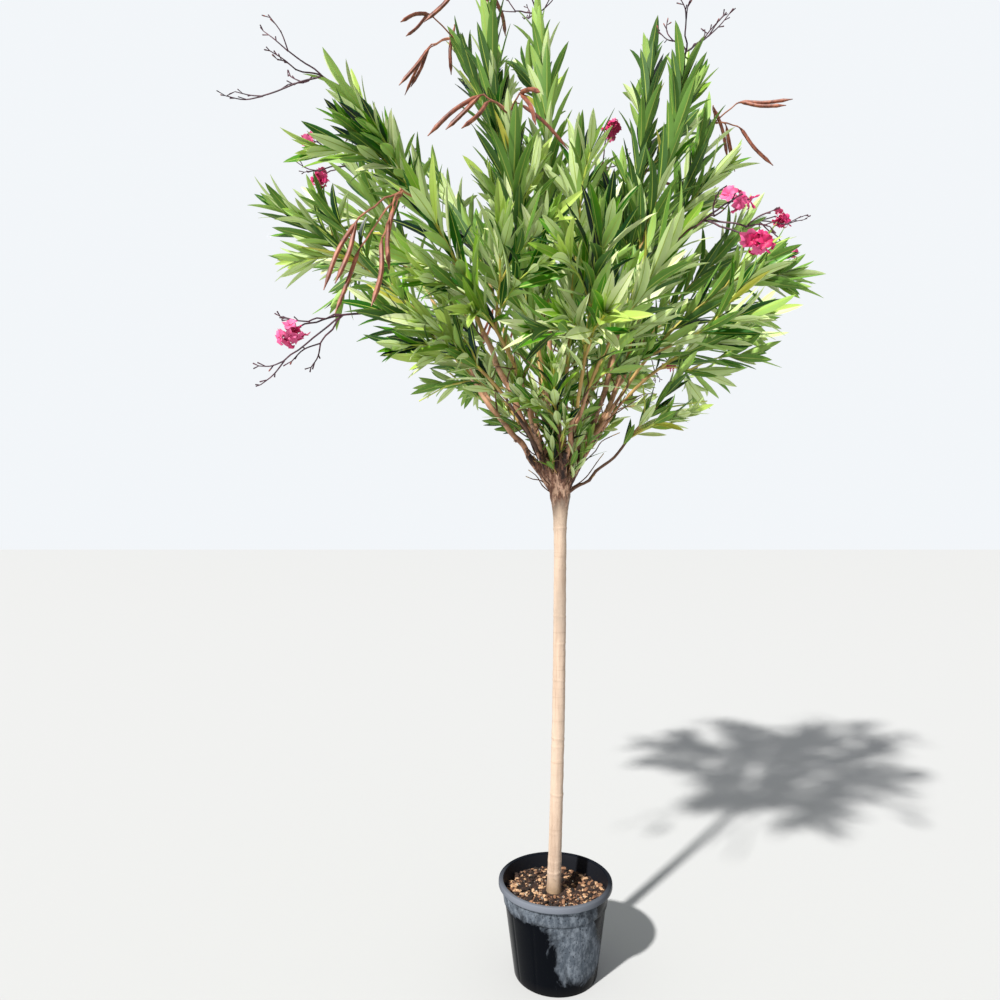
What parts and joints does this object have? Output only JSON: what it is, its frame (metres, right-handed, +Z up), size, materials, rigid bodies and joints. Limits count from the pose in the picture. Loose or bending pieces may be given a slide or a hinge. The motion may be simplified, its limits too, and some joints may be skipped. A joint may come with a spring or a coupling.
{
  "type": "potted oleander",
  "caption": "Tall flowering shrub on one clean stem in a round nursery pot, with a vase-shaped crown of long narrow leaves, pink blossom and slender seed pods.",
  "frame": {"origin": "centre of the pot's flat underside", "axes": "+Z up along the stem; -Y towards the front of the plant; +X to the plant's right-hand side as seen from the front"},
  "size_m": [1.7117, 1.5818, 2.8725],
  "materials": {
    "pot_plastic": "dusty black moulded plastic, semi-matt",
    "potting_soil": "loose bark compost with pale chips",
    "trunk_bark": "smooth pale bark with fine rings",
    "bough_bark": "grey-brown bark, greener towards the tips",
    "foliage": "leathery green leaves, satin above and matt beneath"
  },
  "bodies": {
    "root": {"pot": "pot_plastic", "soil": "potting_soil", "trunk": "trunk_bark", "bough_top_middle": "bough_bark", "bough_left_high": "bough_bark", "bough_right_high": "bough_bark", "bough_right": "bough_bark", "bough_front": "bough_bark", "bough_back": "bough_bark", "bough_back_left_high": "bough_bark", "bough_far_left": "bough_bark", "bough_left_low": "bough_bark", "bough_right_middle": "bough_bark", "bough_back_right": "bough_bark", "bough_lowest_left": "bough_bark", "bough_left_flower": "bough_bark", "bough_top_left": "bough_bark", "bough_top_front": "bough_bark", "bough_front_left": "bough_bark", "bough_upper_front": "bough_bark", "bough_centre_back": "bough_bark", "bough_top_right": "bough_bark", "bough_far_right": "bough_bark", "bough_right_low": "bough_bark", "bough_front_right": "bough_bark", "bough_back_left": "bough_bark", "bough_back_right_high": "bough_bark", "bough_inner_front": "bough_bark", "bough_inner_back": "bough_bark", "foliage_top_middle": "foliage", "foliage_left_high": "foliage", "foliage_right_high": "foliage", "foliage_right": "foliage", "foliage_front": "foliage", "foliage_back": "foliage", "foliage_back_left_high": "foliage", "foliage_far_left": "foliage", "foliage_left_low": "foliage", "foliage_right_middle": "foliage", "foliage_back_right": "foliage", "foliage_lowest_left": "foliage", "foliage_right_twig": "foliage", "foliage_front_low": "foliage", "foliage_left_flower": "foliage", "foliage_top_left": "foliage", "foliage_top_front": "foliage", "foliage_front_left": "foliage", "foliage_upper_front": "foliage", "foliage_centre_back": "foliage", "foliage_top_right": "foliage", "foliage_far_right": "foliage", "foliage_right_low": "foliage", "foliage_front_right": "foliage", "foliage_back_left": "foliage", "foliage_back_right_high": "foliage", "foliage_inner_front": "foliage", "foliage_inner_back": "foliage"}
  },
  "joints": []
}
